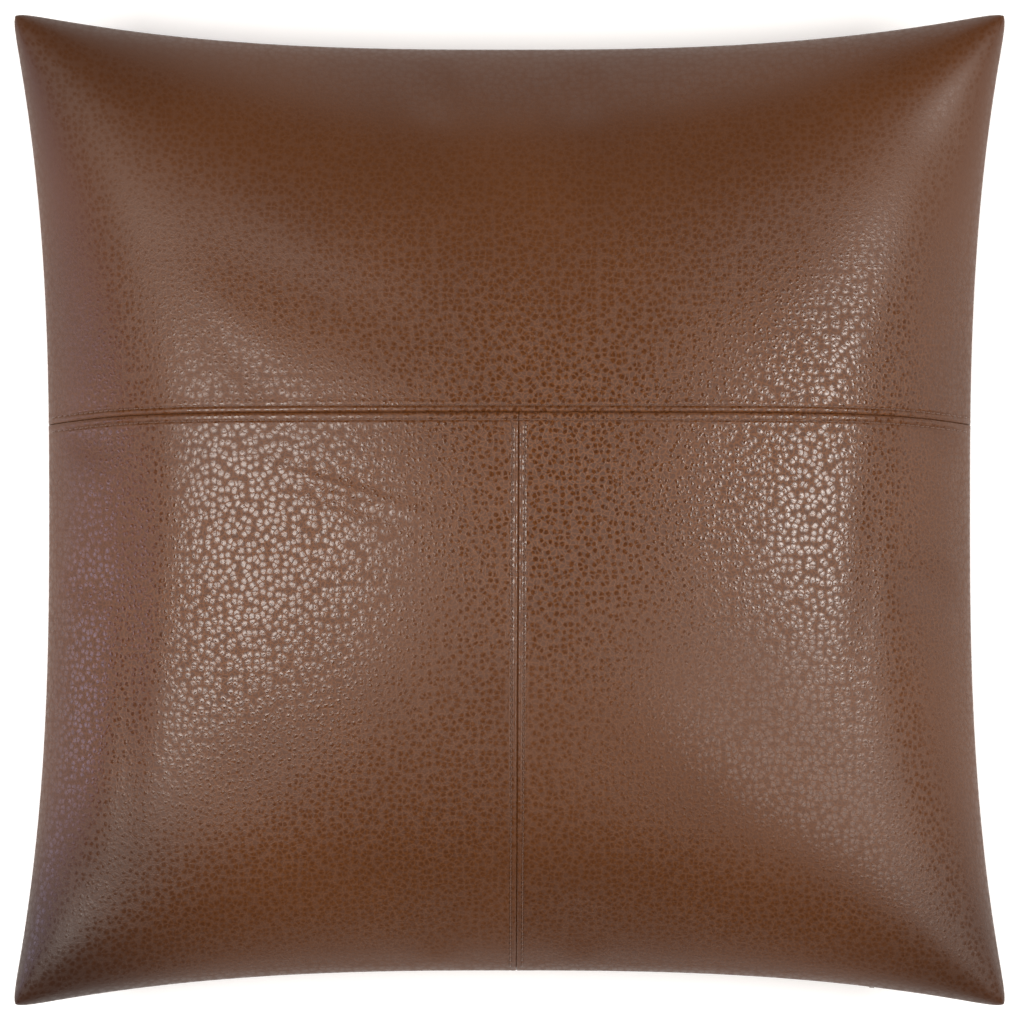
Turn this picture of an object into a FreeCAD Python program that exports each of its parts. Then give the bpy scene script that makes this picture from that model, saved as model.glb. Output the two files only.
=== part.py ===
"""Square leather throw pillow, 610 mm corner to corner, lying on its back.

Millimetres. +Z points out of the front face, +Y towards the pillow's top edge, +X to its right.
The origin is on the floor, under the centre of the flat patch that the pillow rests on.

Each face is a patch over (s, t), both from -1 to 1: s runs from the left edge to the right edge
and t from the bottom edge to the top edge. Every thin piece is a slab between two such patches.
"""

import FreeCAD, Part
import math
import os

Vector = FreeCAD.Vector

# outline of the cover
HALF_SIZE = 307.4  # corner, before it is rounded
SIDE_PULL = 23.9  # how far the middle of a side is pulled in
SIDE_POWER = 2.65  # how long the sides stay nearly straight before they turn out to the corners
CORNER_CUT = 0.0114  # share of the corner that rounding takes off
CORNER_POWER = 44  # how close to the corner the rounding stays

# thickness of the stuffed pillow
SEAM_HEIGHT = 80.0  # the perimeter seam above the floor
FRONT_RISE = 92.0  # crown of the front above the seam
BACK_FALL = 100.0  # what the back would bulge below the seam if no floor flattened it
PROFILE_POWER = 0.6
PROFILE_EASE = 0.01  # keeps the slope at the seam finite
EAR = 0.08  # how far the corners stay flat
FLOOR_EASE = 8.0  # how gently the back turns into its flat patch
FLOOR_TRIM = 0.95  # sinks the back's middle just below the floor, where it is cut off flat

# leather, seams and threads
LEATHER = 1.2
PERIMETER_GAP = 0.5  # from the seam's plane to each face
SEAM_GAP = 0.3  # from a seam's line to the panel on each side
CROSS_SEAM_Y = 58.2  # the seam between the top panel and the two lower ones
CROSS_SEAM_SAG = 6.0
CROSS_SEAM_POWER = 7
CENTRE_SEAM_X = 5.5  # the seam between the two lower panels
CENTRE_SEAM_LEAN = 1.4
ROW_ABOVE = 4.0  # topstitch rows, from the cross seam
ROW_BELOW = 4.7
ROW_ASIDE = 3.6  # and from the centre seam
THREAD = 0.7
THREAD_LIFT = 0.1
ROW_END = 1.5  # a topstitch row stops this far from the edge
SEAM_THREAD_LOW, SEAM_THREAD_HIGH = -0.9, -0.5  # the joining threads, from the leather's outer face
SEAM_THREAD_END = 3.0
PERIMETER_THREAD_DEPTHS = (0.5, 1.0)  # inside the edge
PERIMETER_THREAD_HALF = 0.2
LABEL = 0.3
LABEL_GAP = 0.4  # from the leather's flesh side
LABEL_FROM, LABEL_TO = -0.995, -0.90  # in s
LABEL_LOW, LABEL_HIGH = -170.0, -150.0  # along the left seam

# zip in the bottom seam
ZIP_HALF = 228.0  # an 18 in coil zip
ZIP_LINE = -1.5  # height of the zip's middle, from the seam's plane
LIP_DROP = 3.2  # the back's lip drops by this much to let the slider's neck out
LIP_HALF = 240.0
LIP_BLEND = 22.0
COIL_DEPTH = 5.4  # the coil's centre line, inside the edge
COIL_RADIUS = 0.6
COIL_OFFSET = 1.1  # from the zip's middle to each coil
TAPE = 0.4
TAPE_START = 1.8
TAPE_KNEE = 3.6
TAPE_END = 10.0
TAPE_SLOPE = 1.15
SLIDER_LENGTH = 9.5
SLIDER_HALF = 3.0
PLATE = 0.8
PLATE_GAP = 0.4  # between a slider plate and the coils
PIVOT_DEPTH = 0.4
PIVOT_RADIUS = 0.5
BARREL_RADIUS = 1.0
BARREL_BORE = 0.62
BARREL_LENGTH = 2.9
BARREL_GAP = 0.35  # from the barrel's end to the bridge's post
BRIDGE_RADIUS = 0.55
WEB_SHARE = 0.4  # of the gap between the coils
PLATE_ROUND = 1.6
PULL_LENGTH = 24.0
PULL_WIDTH = 5.0
PULL_THICKNESS = 0.85
PULL_RIM = 1.2  # round the pull's window
PULL_NECK_INSET = 0.2
STOP_LENGTH = 3.0
STOP_CLEARANCE = 0.2
STOP_X = ZIP_HALF + STOP_LENGTH / 2 + STOP_CLEARANCE
STOP_GRIP = (COIL_OFFSET - COIL_RADIUS, COIL_OFFSET + COIL_RADIUS)
SLIDER_REST_X = ZIP_HALF - SLIDER_LENGTH / 2 - 2 * STOP_CLEARANCE

# insert
INSERT_INSET = 14.0
INSERT_CLEARANCE = 3.0
CLOTH = 0.6
INSERT_GAP = 0.3
INSERT_THREAD_DEPTHS = (0.2, 0.7)  # inside the shell's edge

# how finely shapes are worked out
COLUMNS = 41  # grid points across a full face
PART_COLUMNS = 27  # across a lower panel
SHORT_COLUMNS = 20  # up the top panel
BACK_COLUMNS = 61  # along the back, whose lip has short bends
LABEL_COLUMNS = 9
SETTLE_STEPS = 30  # rounds of a repeated estimate
HALVINGS = 40  # of the range in which the lip's edge is sought
SLOPE_STEP = 1e-4  # in s or t, for slopes


# ---------------------------------------------------------------- the stuffed shape

def mix(low, high, share):
    return low + (high - low) * share


def spread(count):
    """Shares from 0 to 1, closer together at both ends."""
    return [0.5 - 0.5 * math.cos(math.pi * i / (count - 1)) for i in range(count)]


def half_width(v, inset=0.0):
    """Half the face's width where the other coordinate is v."""
    return HALF_SIZE - inset - SIDE_PULL * (1 - abs(v) ** SIDE_POWER)


def plan(s, t, inset=0.0):
    rounding = 1 - CORNER_CUT * abs(s * t) ** CORNER_POWER
    return s * half_width(t, inset) * rounding, t * half_width(s, inset) * rounding


def patch_place(x, y):
    """The (s, t) of a point of the plan."""
    s = t = 0.0
    for _ in range(SETTLE_STEPS):
        s, t = x / half_width(t), y / half_width(s)
    return s, t


def profile(v):
    """The stuffing's rise across a face, 1 in the middle and 0 at the seam."""
    def raw(u):
        return max(1 - u * u + PROFILE_EASE, 1e-6) ** PROFILE_POWER
    return (raw(v) - raw(1)) / (raw(0) - raw(1))


def crown(s, t):
    """The rise over the whole face: full along the sides, and flat only in the corners' ears."""
    a, b = profile(s), profile(t)
    return a * b / (a + b - a * b + EAR * (1 - a) * (1 - b))


def front_height(s, t):
    return FRONT_RISE * crown(s, t)


def back_height(s, t):
    """Minus the back's drop below the seam, turned softly into the flat patch on the floor."""
    def eased(v):
        return 0.5 * (v + math.hypot(v, FLOOR_EASE))
    deepest = SEAM_HEIGHT - PERIMETER_GAP - LEATHER
    above = deepest - BACK_FALL * crown(s, t)
    edge_error = eased(deepest) - deepest
    share = above / deepest
    return eased(above) - edge_error * share - FLOOR_TRIM * (1 - share) - deepest


def normal(height, s, t):
    """The face's upward unit normal, for a height function of (s, t)."""
    def point(a, b):
        return Vector(*plan(a, b), height(a, b))
    along = point(s + SLOPE_STEP, t) - point(s - SLOPE_STEP, t)
    across = point(s, t + SLOPE_STEP) - point(s, t - SLOPE_STEP)
    return along.cross(across).normalize()


def front_point(s, t, depth=0.0):
    """A point of the front's outer face, or that far inside it."""
    n = normal(front_height, s, t)
    top = Vector(*plan(s, t), SEAM_HEIGHT + PERIMETER_GAP + front_height(s, t) + LEATHER * n.z)
    return top - n * depth


def back_point(s, t, depth=0.0):
    n = normal(back_height, s, t)
    low = Vector(*plan(s, t), SEAM_HEIGHT - PERIMETER_GAP + back_height(s, t) - LEATHER * n.z)
    return low + n * depth


# ---------------------------------------------------------------- solids from patches

def spline_through(points):
    """The smooth curve through points that are spaced as spread() spaces them."""
    curve = Part.BSplineCurve()
    curve.interpolate(Points=points, Parameters=spread(len(points)))
    return curve


def smooth_face(grid):
    """The face through a grid of points: along its rows first, then across them."""
    rows = [spline_through(row) for row in grid]
    across = [spline_through(list(poles)) for poles in zip(*[row.getPoles() for row in rows])]
    along = rows[0]
    surface = Part.BSplineSurface()
    surface.buildFromPolesMultsKnots(
        [list(poles) for poles in zip(*[curve.getPoles() for curve in across])],
        across[0].getMultiplicities(), along.getMultiplicities(),
        across[0].getKnots(), along.getKnots(),
        False, False, across[0].Degree, along.Degree,
    )
    return surface.toShape()


def edge_gap(edge, start, end):
    """How far the edge's ends are from these two points, either way round."""
    ends = [edge.Vertexes[0].Point, edge.Vertexes[-1].Point]
    straight = ends[0].distanceToPoint(start) + ends[1].distanceToPoint(end)
    turned = ends[1].distanceToPoint(start) + ends[0].distanceToPoint(end)
    return min(straight, turned)


def edge_between(face, start, end):
    """The face's edge that joins two of its corners."""
    return min(face.Edges, key=lambda edge: edge_gap(edge, start, end))


def wall(one, other, start, facing_start):
    """The wall between two edges, ruled so that these two ends are joined and it has no twist."""
    ways = [Part.makeRuledSurface(one, other, way) for way in (1, 2)]
    return min(ways, key=lambda face: edge_gap(
        edge_between(face, start, facing_start), start, facing_start))


def slab(first, second):
    """The closed solid between two grids of points of the same size."""
    faces = [smooth_face(first), smooth_face(second)]
    corners = [(0, 0), (-1, 0), (-1, -1), (0, -1)]
    for (i, j), (k, m) in zip(corners, corners[1:] + corners[:1]):
        one = edge_between(faces[0], first[i][j], first[k][m])
        other = edge_between(faces[1], second[i][j], second[k][m])
        faces.append(wall(one, other, first[i][j], second[i][j]))
    shell = Part.makeShell(faces)
    shell.sewShape()
    solid = Part.Solid(Part.Shell(shell.Faces))
    if solid.Volume < 0:
        solid.reverse()
    return solid


def strip(line, width, low, high):
    """A thin strip along a line of places: line(share, side) gives (outer point, normal)."""
    grids = []
    for lift in (low, high):
        rows = []
        for side in (-width / 2, width / 2):
            row = []
            for share in spread(COLUMNS):
                point, n = line(share, side)
                row.append(point + n * lift)
            rows.append(row)
        grids.append(rows)
    return slab(*grids)


# ---------------------------------------------------------------- leather panels

def cross_seam_y(x):
    return CROSS_SEAM_Y - CROSS_SEAM_SAG * min(abs(x) / half_width(0), 1) ** CROSS_SEAM_POWER


def cross_seam_t(s, aside=0.0):
    """The t of the cross seam, or of a line that far above it, at this s."""
    t = 0.2
    for _ in range(SETTLE_STEPS):
        t = (cross_seam_y(s * half_width(t)) + aside) / half_width(s)
    return t


def centre_seam_x(y):
    """The centre seam leans a little, from the cross seam down to the bottom edge."""
    down = (CROSS_SEAM_Y - y) / (CROSS_SEAM_Y + half_width(0))
    return CENTRE_SEAM_X - CENTRE_SEAM_LEAN * down


def panel(point, places):
    outer = [[point(s, t) for s, t in row] for row in places]
    inner = [[point(s, t, LEATHER) for s, t in row] for row in places]
    return slab(outer, inner)


def front_top_panel():
    rows = []
    for b in spread(SHORT_COLUMNS):
        row = []
        for a in spread(COLUMNS):
            s = mix(-1, 1, a)
            row.append((s, mix(cross_seam_t(s, SEAM_GAP), 1, b)))
        rows.append(row)
    return panel(front_point, rows)


def lower_panel(side):
    """The lower left (side -1) or lower right (side 1) panel."""
    rows = []
    for b in spread(PART_COLUMNS):
        t_near = mix(-1, cross_seam_t(0), b)
        seam_x = centre_seam_x(t_near * half_width(0)) + side * SEAM_GAP
        s_seam = seam_x / half_width(t_near)
        row = []
        for a in spread(PART_COLUMNS):
            s = mix(side, s_seam, a)
            row.append((s, mix(-1, cross_seam_t(s, -SEAM_GAP), b)))
        rows.append(row)
    return panel(front_point, rows)


def lip_share(x):
    """1 along the zip, 0 beyond it."""
    v = (LIP_HALF + LIP_BLEND - abs(x)) / LIP_BLEND
    v = min(max(v, 0), 1)
    return v * v * (3 - 2 * v)


def back_lip_t(s):
    """How far the back reaches towards the bottom edge: all the way, or to the zip's lip."""
    edge = back_point(s, -1).z
    target = edge - LIP_DROP * lip_share(s * half_width(1))
    low, high = 0.9, 1.0
    for _ in range(HALVINGS):
        middle = (low + high) / 2
        if back_point(s, -middle).z > target:
            high = middle
        else:
            low = middle
    return high if target < edge else 1.0


def back_panel():
    rows = []
    for a in spread(BACK_COLUMNS):
        s = mix(-1, 1, a)
        start = -back_lip_t(s)
        rows.append([(s, mix(start, 1, b)) for b in spread(COLUMNS)])
    solid = panel(back_point, rows)
    reach = 2 * HALF_SIZE
    floor = Part.makeBox(2 * reach, 2 * reach, reach, Vector(-reach, -reach, -reach))
    return solid.cut(floor).Solids[0]


def care_label():
    """A blank woven label inside the left seam, between the cover and the insert."""
    rows = []
    for b in spread(3):
        row = []
        for a in spread(LABEL_COLUMNS):
            row.append((mix(LABEL_FROM, LABEL_TO, a), mix(LABEL_LOW, LABEL_HIGH, b) / half_width(1)))
        rows.append(row)
    outer = [[front_point(s, t, LEATHER + LABEL_GAP) for s, t in row] for row in rows]
    inner = [[front_point(s, t, LEATHER + LABEL_GAP + LABEL) for s, t in row] for row in rows]
    return slab(outer, inner)


# ---------------------------------------------------------------- threads

def surface_place(x, y):
    s, t = patch_place(x, y)
    return front_point(s, t), normal(front_height, s, t)


def cross_row(offset, end_inset):
    """A line along the cross seam, that far above it."""
    reach = half_width(cross_seam_t(1)) - end_inset
    def line(share, side):
        x = mix(-reach, reach, share)
        return surface_place(x, cross_seam_y(x) + offset + side)
    return line


def centre_row(offset, y_top, end_inset):
    y_bottom = -half_width(0) + end_inset
    def line(share, side):
        y = mix(y_bottom, y_top, share)
        return surface_place(centre_seam_x(y) + offset + side, y)
    return line


def topstitch(line):
    return strip(line, THREAD, THREAD_LIFT, THREAD_LIFT + THREAD / 2)


def seam_thread(line):
    return strip(line, SEAM_GAP, SEAM_THREAD_LOW, SEAM_THREAD_HIGH)


def edge_ribbon(stretches, insets, half_thickness):
    """Flat thread in a knife edge: a solid for each stretch, given by the (s, t) of its two ends."""
    solids = []
    for (s0, t0), (s1, t1) in stretches:
        grids = []
        for level in (SEAM_HEIGHT - half_thickness, SEAM_HEIGHT + half_thickness):
            rows = []
            for inset in insets:
                places = [plan(mix(s0, s1, a), mix(t0, t1, a), inset) for a in spread(COLUMNS)]
                rows.append([Vector(x, y, level) for x, y in places])
            grids.append(rows)
        solids.append(slab(*grids))
    return Part.makeCompound(solids)


def perimeter_thread():
    """All round the cover's edge, except along the zip."""
    zip_end = (LIP_HALF + LIP_BLEND) / half_width(1)
    return edge_ribbon([
        ((-zip_end, -1), (-1, -1)),
        ((-1, -1), (-1, 1)),
        ((-1, 1), (1, 1)),
        ((1, 1), (1, -1)),
        ((1, -1), (zip_end, -1)),
    ], PERIMETER_THREAD_DEPTHS, PERIMETER_THREAD_HALF)


# ---------------------------------------------------------------- insert

def insert_slab(height, side, depths):
    """A layer of the insert: between two depths inside its outer face."""
    grids = []
    for depth in depths:
        inset = INSERT_INSET + depth
        level = SEAM_HEIGHT + side * INSERT_GAP
        rows = []
        for b in spread(COLUMNS):
            row = []
            for a in spread(COLUMNS):
                s, t = mix(-1, 1, a), mix(-1, 1, b)
                row.append(Vector(*plan(s, t, inset), level + height(s, t, depth)))
            rows.append(row)
        grids.append(rows)
    return grids


def insert_front_height(s, t, depth):
    return (FRONT_RISE - INSERT_CLEARANCE - depth) * crown(s, t)


def insert_back_height(s, t, depth):
    scale = (SEAM_HEIGHT - INSERT_CLEARANCE - depth) / SEAM_HEIGHT
    return back_height(s, t) * scale


def insert_shell(height, side):
    return slab(*insert_slab(height, side, (0.0, CLOTH)))


def insert_thread():
    corners = [(-1, -1), (-1, 1), (1, 1), (1, -1)]
    insets = [INSERT_INSET + depth for depth in INSERT_THREAD_DEPTHS]
    return edge_ribbon(zip(corners, corners[1:] + corners[:1]), insets, INSERT_GAP / 2)


def insert_fill():
    inner = 2 * CLOTH
    front = insert_slab(insert_front_height, 1, (inner,))[0]
    back = insert_slab(insert_back_height, -1, (inner,))[0]
    return slab(front, back)


# ---------------------------------------------------------------- zip

def zip_arc():
    """The radius of the arc that the bottom edge follows along the zip, and its centre's y."""
    y_end = half_width(ZIP_HALF / half_width(1))
    sag = y_end - half_width(0)
    radius = (ZIP_HALF ** 2 + sag ** 2) / (2 * sag)
    middle = half_width(ZIP_HALF / 2 / half_width(1))
    on_arc = half_width(0) + radius - math.sqrt(radius ** 2 - (ZIP_HALF / 2) ** 2)
    shift = (on_arc - middle) / 2
    return radius, -half_width(0) - radius + shift


ARC_RADIUS, ARC_Y = zip_arc()


def place_along_zip(shape, x):
    """Turn a shape built at the zip's middle along the arc until it is at x."""
    turned = shape.copy()
    turned.rotate(Vector(0, ARC_Y, 0), Vector(0, 0, 1), -math.degrees(math.asin(x / ARC_RADIUS)))
    return turned


def zip_place(x, depth, height):
    """A point at the zip's middle: x along it, depth inside the edge, height from its line."""
    return Vector(x, ARC_Y + ARC_RADIUS + depth, SEAM_HEIGHT + ZIP_LINE + height)


def zip_block(x, depth, height):
    """A block between pairs of x, depth and height."""
    low = zip_place(x[0], depth[0], height[0])
    return Part.makeBox(x[1] - x[0], depth[1] - depth[0], height[1] - height[0], low)


def along_zip(profile_wire, half):
    """Sweep a closed profile along the zip's arc, half its length to each side."""
    angle = math.degrees(math.asin(half / ARC_RADIUS))
    face = Part.Face(profile_wire)
    face.rotate(Vector(0, ARC_Y, 0), Vector(0, 0, 1), -angle)
    return face.revolve(Vector(0, ARC_Y, 0), Vector(0, 0, 1), 2 * angle)


def zipper_coil(side):
    centre = zip_place(0, COIL_DEPTH, side * COIL_OFFSET)
    circle = Part.makeCircle(COIL_RADIUS, centre, Vector(1, 0, 0))
    return along_zip(Part.Wire(circle), ZIP_HALF)


def zipper_tape(side):
    """Half the tape: upright beside the coil, then leaning in along the leather."""
    half = TAPE / 2
    path = [
        (COIL_DEPTH, TAPE_START),
        (COIL_DEPTH, TAPE_KNEE),
        (COIL_DEPTH + (TAPE_END - TAPE_KNEE) / TAPE_SLOPE, TAPE_END),
    ]
    near = [zip_place(0, depth - half, side * height) for depth, height in path]
    far = [zip_place(0, depth + half, side * height) for depth, height in reversed(path)]
    outline = near + far
    return along_zip(Part.makePolygon(outline + outline[:1]), LIP_HALF)


def zipper_slider():
    """Two plates round the coils, a web between the coils, and a bridge that holds the pull."""
    ends = (-SLIDER_LENGTH / 2, SLIDER_LENGTH / 2)
    sides = (-SLIDER_HALF, SLIDER_HALF)
    near = COIL_DEPTH - COIL_RADIUS - PLATE_GAP
    far = COIL_DEPTH + COIL_RADIUS + PLATE_GAP
    web = (COIL_OFFSET - COIL_RADIUS) * WEB_SHARE
    body = zip_block(ends, (near - PLATE, near), sides)
    body = body.fuse(zip_block(ends, (far, far + PLATE), sides))
    body = body.fuse(zip_block(ends, (near, far), (-web, web)))
    upright = [edge for edge in body.Edges if abs(edge.tangentAt(edge.FirstParameter).y) > 0.99]
    middle = SEAM_HEIGHT + ZIP_LINE
    outer = [edge for edge in upright if abs(edge.CenterOfMass.z - middle) > SLIDER_HALF / 2]
    body = body.makeFillet(PLATE_ROUND, outer)
    for side in (-1, 1):
        inner = BARREL_LENGTH / 2 + BARREL_GAP
        post = sorted((side * inner, side * (inner + PLATE)))
        depths = (PIVOT_DEPTH, near - PLATE / 2)
        body = body.fuse(zip_block(post, depths, (-BRIDGE_RADIUS, BRIDGE_RADIUS)))
        start = zip_place(post[0], PIVOT_DEPTH, 0)
        body = body.fuse(Part.makeCylinder(BRIDGE_RADIUS, PLATE, start, Vector(1, 0, 0)))
    reach = BARREL_LENGTH / 2 + PLATE
    start = zip_place(-reach, PIVOT_DEPTH, 0)
    body = body.fuse(Part.makeCylinder(PIVOT_RADIUS, 2 * reach, start, Vector(1, 0, 0)))
    return place_along_zip(body.removeSplitter(), SLIDER_REST_X)


def zipper_pull():
    """A teardrop tab that hangs from the bridge by a barrel."""
    start = zip_place(-BARREL_LENGTH / 2, PIVOT_DEPTH, 0)
    barrel = Part.makeCylinder(BARREL_RADIUS, BARREL_LENGTH, start, Vector(1, 0, 0))
    bore = Part.makeCylinder(BARREL_BORE, BARREL_LENGTH, start, Vector(1, 0, 0))
    depth = PIVOT_DEPTH - BARREL_RADIUS
    neck_half, end_radius = BARREL_LENGTH / 2 - PULL_NECK_INSET, PULL_WIDTH / 2
    round_at = -PULL_LENGTH + end_radius
    left_top = zip_place(-neck_half, depth, 0)
    left_low = zip_place(-end_radius, depth, round_at)
    bottom = zip_place(0, depth, -PULL_LENGTH)
    right_low = zip_place(end_radius, depth, round_at)
    right_top = zip_place(neck_half, depth, 0)
    outline = Part.Wire([
        Part.makeLine(left_top, left_low),
        Part.Arc(left_low, bottom, right_low).toShape(),
        Part.makeLine(right_low, right_top),
        Part.makeLine(right_top, left_top),
    ])
    tab = Part.Face(outline).extrude(Vector(0, PULL_THICKNESS, 0))
    window = Part.makeCylinder(
        end_radius - PULL_RIM, 3 * PULL_THICKNESS,
        zip_place(0, depth - PULL_THICKNESS, round_at), Vector(0, 1, 0),
    )
    pull = barrel.fuse(tab).cut(bore).cut(window).removeSplitter()
    return place_along_zip(pull, SLIDER_REST_X)


def zipper_stop(x, heights):
    """Crimps at one end of the coils, one for each pair of heights."""
    reach = COIL_RADIUS + STOP_CLEARANCE
    depths = (COIL_DEPTH - reach, COIL_DEPTH + reach)
    solids = []
    for height in heights:
        block = zip_block((-STOP_LENGTH / 2, STOP_LENGTH / 2), depths, height)
        solids.append(place_along_zip(block, x))
    return Part.makeCompound(solids)


# ---------------------------------------------------------------- the pieces

def build():
    below = cross_seam_y(CENTRE_SEAM_X) - ROW_BELOW - THREAD
    return {
        "front_top_panel": front_top_panel(),
        "front_left_panel": lower_panel(-1),
        "front_right_panel": lower_panel(1),
        "back_panel": back_panel(),
        "topstitch_above": topstitch(cross_row(ROW_ABOVE, ROW_END)),
        "topstitch_below": topstitch(cross_row(-ROW_BELOW, ROW_END)),
        "topstitch_left": topstitch(centre_row(-ROW_ASIDE, below, ROW_END)),
        "topstitch_right": topstitch(centre_row(ROW_ASIDE, below, ROW_END)),
        "cross_seam_thread": seam_thread(cross_row(0, SEAM_THREAD_END)),
        "centre_seam_thread": seam_thread(centre_row(0, cross_seam_y(0) - ROW_END, SEAM_THREAD_END)),
        "perimeter_seam_thread": perimeter_thread(),
        "care_label": care_label(),
        "zipper_tape_front": zipper_tape(1),
        "zipper_tape_back": zipper_tape(-1),
        "zipper_coil_front": zipper_coil(1),
        "zipper_coil_back": zipper_coil(-1),
        "zipper_slider": zipper_slider(),
        "zipper_pull": zipper_pull(),
        "zipper_top_stops": zipper_stop(STOP_X, [STOP_GRIP, (-STOP_GRIP[1], -STOP_GRIP[0])]),
        "zipper_bottom_stop": zipper_stop(-STOP_X, [(-STOP_GRIP[1], STOP_GRIP[1])]),
        "insert_shell_front": insert_shell(insert_front_height, 1),
        "insert_shell_back": insert_shell(insert_back_height, -1),
        "insert_seam_thread": insert_thread(),
        "insert_fill": insert_fill(),
    }


def main():
    os.makedirs("parts", exist_ok=True)
    for node, shape in build().items():
        shape.exportStep(f"parts/{node}.step")
        box = shape.BoundBox
        print(f"{node}: valid {shape.isValid()}, solids {len(shape.Solids)},"
              f" {shape.Volume:.0f} mm3, z {box.ZMin:.2f} to {box.ZMax:.2f}")
    print(f"zip arc: radius {ARC_RADIUS:.4f}, centre y {ARC_Y:.4f},"
          f" half angle {math.degrees(math.asin(SLIDER_REST_X / ARC_RADIUS)):.5f}")


main()
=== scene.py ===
"""Square leather throw pillow: a topstitched cover with a hidden zip, over a stuffed insert.

Shapes are worked out in millimetres over the same face patch as the CAD: s runs from -1 at the left
edge to 1 at the right, and t from -1 at the bottom to 1 at the top. Meshes are stored in metres.
"""

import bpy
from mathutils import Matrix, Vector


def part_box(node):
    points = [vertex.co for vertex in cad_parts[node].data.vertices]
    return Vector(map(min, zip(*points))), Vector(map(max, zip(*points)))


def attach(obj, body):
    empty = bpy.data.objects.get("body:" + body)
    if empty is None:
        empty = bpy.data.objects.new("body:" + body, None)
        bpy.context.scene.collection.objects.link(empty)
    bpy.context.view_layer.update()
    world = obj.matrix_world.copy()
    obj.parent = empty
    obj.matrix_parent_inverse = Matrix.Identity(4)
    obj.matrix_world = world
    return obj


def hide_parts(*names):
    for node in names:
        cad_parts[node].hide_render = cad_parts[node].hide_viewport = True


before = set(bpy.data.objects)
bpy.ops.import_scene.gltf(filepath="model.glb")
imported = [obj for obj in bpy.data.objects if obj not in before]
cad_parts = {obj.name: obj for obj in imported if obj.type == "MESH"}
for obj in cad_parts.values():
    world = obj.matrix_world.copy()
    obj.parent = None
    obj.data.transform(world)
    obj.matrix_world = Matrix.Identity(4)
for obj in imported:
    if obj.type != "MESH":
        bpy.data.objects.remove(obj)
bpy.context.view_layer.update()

import math

import bpy
import numpy as np

MM = 0.001
FRONT, BACK = 1, -1
FACES = (("front", FRONT), ("back", BACK))
TINY = 1e-9
CORNERS = [(-1, -1), (-1, 1), (1, 1), (1, -1)]

# outline and stuffing, as in the CAD
HALF_SIZE, SIDE_PULL, SIDE_POWER = 307.4, 23.9, 2.65
CORNER_CUT, CORNER_POWER = 0.0114, 44
SEAM_HEIGHT, FRONT_RISE, BACK_FALL = 80.0, 92.0, 100.0
PROFILE_POWER, PROFILE_EASE, EAR = 0.6, 0.01, 0.08
FLOOR_EASE, FLOOR_TRIM = 8.0, 0.95
LEATHER, PERIMETER_GAP = 1.2, 0.5
CROSS_SEAM_Y, CROSS_SEAM_SAG, CROSS_SEAM_POWER = 58.2, 6.0, 7
CENTRE_SEAM_X, CENTRE_SEAM_LEAN = 5.5, 1.4
ROW_ABOVE, ROW_BELOW, ROW_ASIDE = 4.0, 4.7, 3.6
ZIP_HALF, ZIP_LINE, LIP_DROP, LIP_HALF, LIP_BLEND = 228.0, -1.5, 3.2, 240.0, 22.0
COIL_DEPTH, COIL_RADIUS, COIL_OFFSET = 5.4, 0.6, 1.1
TAPE, TAPE_START, TAPE_KNEE, TAPE_END, TAPE_SLOPE = 0.4, 1.8, 3.6, 10.0, 1.15
INSERT_INSET, INSERT_CLEARANCE, CLOTH, INSERT_GAP = 14.0, 3.0, 0.6, 0.3

# meshes of the zip
COIL_WIRE, COIL_PITCH = 0.17, 1.15  # radius of the wire, distance between its turns
COIL_STEPS, COIL_AROUND = 10, 5  # rings in each turn, points around the wire
TAPE_POINTS = 161  # along the zip
TAPE_HEIGHTS = [TAPE_START, 2.4, 3.0, TAPE_KNEE, 4.4, 5.6, 7.0, 8.4, TAPE_END]

# leather panels
EDGE_ROLL = 0.9  # radius of a folded leather edge
RIM_NORMAL = 0.988  # nearer the rim than this, the way out of the leather no longer turns
THINNED = 0.1  # how much thinner a panel is than in the CAD
TOP_LINES, LOWER_LINES, BACK_LINES = (358, 64), (165, 200), (150, 150)  # across and up, inside the borders
RIM_STEPS = [0.0, 0.1, 0.3, 0.6, 1.0, 1.8]  # distances from a border at which there is a line
ROW_STEPS = [0.05, 0.15, 0.35, 0.65, 1.05, 1.6, 2.3, 3.0]  # from a seam
AFTER_ROW = [0.5, 1.0, 1.7, 2.6, 3.8, 5.3, 7.5]  # from a thread row, away from its seam
BEFORE_ROW, CLEAR_OF_ROW = 0.5, 0.8  # the last line before a row, and how far the others stay from it
SETTLE_ROUNDS, PLACE_ROUNDS = 24, 30
LIP_LOWEST, LIP_HIGHEST, HALVINGS = -1.0, -0.9, 30  # range of t in which the lip's edge is sought

# relief beside a topstitched seam
PADDING, PADDING_START = 0.45, 1.8  # height of the padded part, and how far from the seam it is full
PADDING_END = (-1.0, 3.5)  # where it sinks again, from the thread row
PRESSED, PRESSED_WIDTH, PUCKER = 0.6, 0.9, 0.35
RIM_RELIEF, RIM_RELIEF_FADE = 0.25, (2, 30)  # share of the relief left at the rim, and where it grows
CROSSING_FADE = (2, 7)  # how far below the cross seam the centre seam's relief starts

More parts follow.
